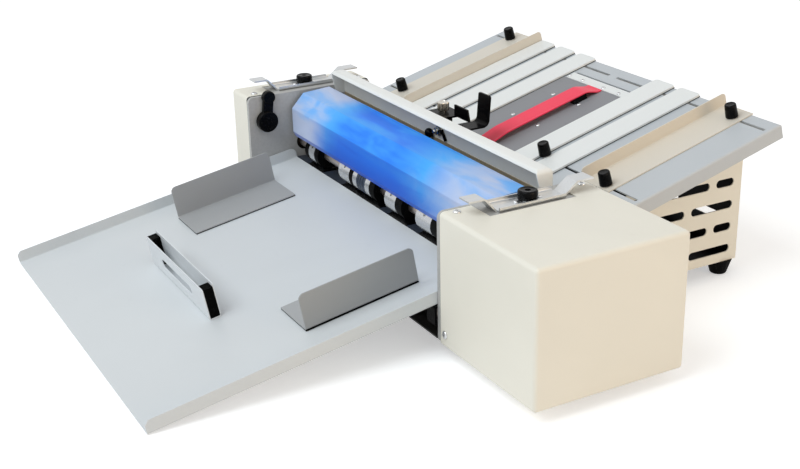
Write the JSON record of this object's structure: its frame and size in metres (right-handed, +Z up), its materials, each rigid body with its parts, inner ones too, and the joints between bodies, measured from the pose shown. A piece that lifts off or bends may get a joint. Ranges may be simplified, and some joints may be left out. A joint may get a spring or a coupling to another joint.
{
  "type": "desktop paper creasing machine",
  "caption": "Desktop machine that feeds sheets from a sloping table under a folding cover, past creasing rollers, onto a shallow delivery tray with sliding guides",
  "frame": {"origin": "middle of the footprint, on the desk", "axes": "+Z up, +Y from the delivery tray to the rear of the feed table, +X towards the wide drive casing"},
  "size_m": [0.7902, 0.8296, 0.2275],
  "materials": {
    "cream_paint": "fine textured powder coat, cream",
    "white_paint": "smooth white paint",
    "table_paint": "smooth light grey paint",
    "tray_paint": "smooth pale grey paint",
    "guide_paint": "smooth pale grey paint",
    "dark_paint": "satin dark grey paint",
    "black_paint": "satin black paint",
    "blue_film": "glossy film in a soft blue gradient",
    "plate_steel": "plain plated steel",
    "plate_grey": "satin mid grey",
    "channel_steel": "satin zinc plate",
    "shaft_steel": "ground steel",
    "screw_steel": "zinc plated",
    "gear_steel": "machined steel, light oil",
    "motor_steel": "black enamel",
    "pulley_aluminium": "machined",
    "bearing_brass": "sintered bronze",
    "nickel": "bright nickel, knurled",
    "white_plastic": "smooth white",
    "collar_plastic": "satin off-white",
    "red_plastic": "satin red",
    "slate_plastic": "satin slate blue",
    "black_plastic": "satin black",
    "black_rubber": "matt black"
  },
  "bodies": {
    "frame": {"drive_side_plate": "plate_steel", "far_side_plate": "plate_steel", "drive_casing": "cream_paint", "far_casing": "cream_paint", "machine_screws": "screw_steel", "rubber_feet": "black_rubber", "side_panels": "cream_paint", "base_tray": "cream_paint", "tie_rods": "screw_steel", "cross_beam": "white_paint", "feed_table": "table_paint", "feed_plate": "plate_grey", "plate_end_bar": "white_plastic", "support_slats": "white_plastic", "slat_magnets": "black_rubber", "drive_belt": "black_rubber", "drive_motor": "motor_steel", "shaft_bearings": "bearing_brass", "paper_guides": "dark_paint", "upper_guide": "shaft_steel", "separator_bracket": "black_paint", "top_channels": "channel_steel", "delivery_tray": "tray_paint", "tray_brackets": "black_paint", "power_inlet": "black_plastic"},
    "cover": {"hinged_cover": "blue_film"},
    "upper_rollers": {"upper_shaft": "shaft_steel", "upper_collars": "collar_plastic", "upper_rings": "black_rubber", "creasing_ring": "slate_plastic", "upper_gear": "gear_steel"},
    "lower_rollers_body": {"lower_shaft": "shaft_steel", "lower_rollers": "black_plastic", "lower_gear": "gear_steel", "lower_pulley": "pulley_aluminium"},
    "feeder": {"feed_shaft": "shaft_steel", "feed_roller": "black_rubber", "feed_pulley": "pulley_aluminium"},
    "motor_wheel": {"motor_pulley": "pulley_aluminium"},
    "ramp": {"lifting_ramp": "red_plastic", "ramp_block": "black_plastic"},
    "slat_screw": {"slat_thumbscrew": "black_plastic"},
    "right_guide": {"right_feed_guide": "cream_paint"},
    "right_front_screw": {"right_front_thumbscrew": "black_plastic"},
    "right_rear_screw": {"right_rear_thumbscrew": "black_plastic"},
    "left_guide": {"left_feed_guide": "cream_paint"},
    "left_front_screw": {"left_front_thumbscrew": "black_plastic"},
    "left_rear_screw": {"left_rear_thumbscrew": "black_plastic"},
    "lever": {"separator_lever": "black_paint"},
    "pad_screw": {"knurled_screw": "nickel"},
    "drive_knob": {"drive_channel_knob": "black_plastic"},
    "far_knob": {"far_channel_knob": "black_plastic"},
    "crank": {"crank_lever": "black_plastic"},
    "right_delivery": {"right_delivery_guide": "guide_paint", "right_delivery_magnet": "black_rubber"},
    "left_delivery": {"left_delivery_guide": "guide_paint", "left_delivery_magnet": "black_rubber"},
    "stop": {"end_stop": "guide_paint", "stop_magnets": "black_rubber"},
    "rocker": {"power_switch": "black_plastic"}
  },
  "joints": [
    {"name": "cover_hinge", "type": "hinge", "parent": "frame", "child": "cover", "pos_m": [-0.067, 0.06003, 0.172], "axis": [-1, 0, 0], "range_deg": [0, 80]},
    {"name": "lower_shaft_spin", "type": "hinge", "parent": "frame", "child": "lower_rollers_body", "pos_m": [-0.067, 0.02403, 0.0625], "axis": [1, 0, 0], "continuous": true},
    {"name": "upper_shaft_spin", "type": "hinge", "parent": "frame", "child": "upper_rollers", "pos_m": [-0.067, 0.02403, 0.1005], "axis": [1, 0, 0], "continuous": true},
    {"name": "feed_shaft_spin", "type": "hinge", "parent": "frame", "child": "feeder", "pos_m": [-0.067, 0.12016, 0.10725], "axis": [1, 0, 0], "continuous": true},
    {"name": "motor_spin", "type": "hinge", "parent": "frame", "child": "motor_wheel", "pos_m": [0.2235, 0.08803, 0.052], "axis": [1, 0, 0], "continuous": true},
    {"name": "ramp_slide", "type": "slide", "parent": "frame", "child": "ramp", "axis": [0, 0.965, 0.2622], "range_m": [-0.01, 0]},
    {"name": "slat_screw_turn", "type": "hinge", "parent": "frame", "child": "slat_screw", "pos_m": [0.05, 0.18941, 0.16129], "axis": [0, -0.2622, 0.965], "range_deg": [0, 360]},
    {"name": "right_guide_slide", "type": "slide", "parent": "frame", "child": "right_guide", "axis": [1, 0, 0], "range_m": [-0.04, 0.05]},
    {"name": "right_front_turn", "type": "hinge", "parent": "right_guide", "child": "right_front_screw", "pos_m": [0.1777, 0.18941, 0.16129], "axis": [0, -0.2622, 0.965], "range_deg": [0, 360]},
    {"name": "right_rear_turn", "type": "hinge", "parent": "right_guide", "child": "right_rear_screw", "pos_m": [0.1777, 0.38628, 0.21478], "axis": [0, -0.2622, 0.965], "range_deg": [0, 360]},
    {"name": "left_guide_slide", "type": "slide", "parent": "frame", "child": "left_guide", "axis": [1, 0, 0], "range_m": [-0.036, 0]},
    {"name": "left_front_turn", "type": "hinge", "parent": "left_guide", "child": "left_front_screw", "pos_m": [-0.3298, 0.18941, 0.16129], "axis": [0, -0.2622, 0.965], "range_deg": [0, 360]},
    {"name": "left_rear_turn", "type": "hinge", "parent": "left_guide", "child": "left_rear_screw", "pos_m": [-0.3298, 0.38628, 0.21478], "axis": [0, -0.2622, 0.965], "range_deg": [0, 360]},
    {"name": "lever_hinge", "type": "hinge", "parent": "frame", "child": "lever", "pos_m": [-0.049, 0.10263, 0.17825], "axis": [1, 0, 0], "range_deg": [-10, 12]},
    {"name": "pad_screw_turn", "type": "hinge", "parent": "frame", "child": "pad_screw", "pos_m": [-0.091, 0.12103, 0.1905], "axis": [0, 0, 1], "range_deg": [0, 360]},
    {"name": "drive_knob_turn", "type": "hinge", "parent": "frame", "child": "drive_knob", "pos_m": [0.228, 0.04103, 0.181], "axis": [0, 0, 1], "range_deg": [0, 360]},
    {"name": "far_knob_turn", "type": "hinge", "parent": "frame", "child": "far_knob", "pos_m": [-0.362, 0.04103, 0.181], "axis": [0, 0, 1], "range_deg": [0, 360]},
    {"name": "crank_hinge", "type": "hinge", "parent": "frame", "child": "crank", "pos_m": [-0.3345, -0.03597, 0.1416], "axis": [1, 0, 0], "range_deg": [0, 90]},
    {"name": "right_delivery_slide", "type": "slide", "parent": "frame", "child": "right_delivery", "axis": [1, 0, 0], "range_m": [-0.04, 0.055]},
    {"name": "left_delivery_slide", "type": "slide", "parent": "frame", "child": "left_delivery", "axis": [1, 0, 0], "range_m": [-0.052, 0.034]},
    {"name": "stop_slide", "type": "slide", "parent": "frame", "child": "stop", "axis": [0, -0.9841, -0.1774], "range_m": [-0.15, 0.13]},
    {"name": "rocker_tip", "type": "hinge", "parent": "frame", "child": "rocker", "pos_m": [0.367, 0.13503, 0.082], "axis": [1, 0, 0], "range_deg": [-7, 7]}
  ],
  "couplings": [
    {"joint": "upper_shaft_spin", "follows": "lower_shaft_spin", "ratio": -1},
    {"joint": "feed_shaft_spin", "follows": "lower_shaft_spin", "ratio": 1.3913},
    {"joint": "motor_spin", "follows": "lower_shaft_spin", "ratio": 1.7778}
  ]
}
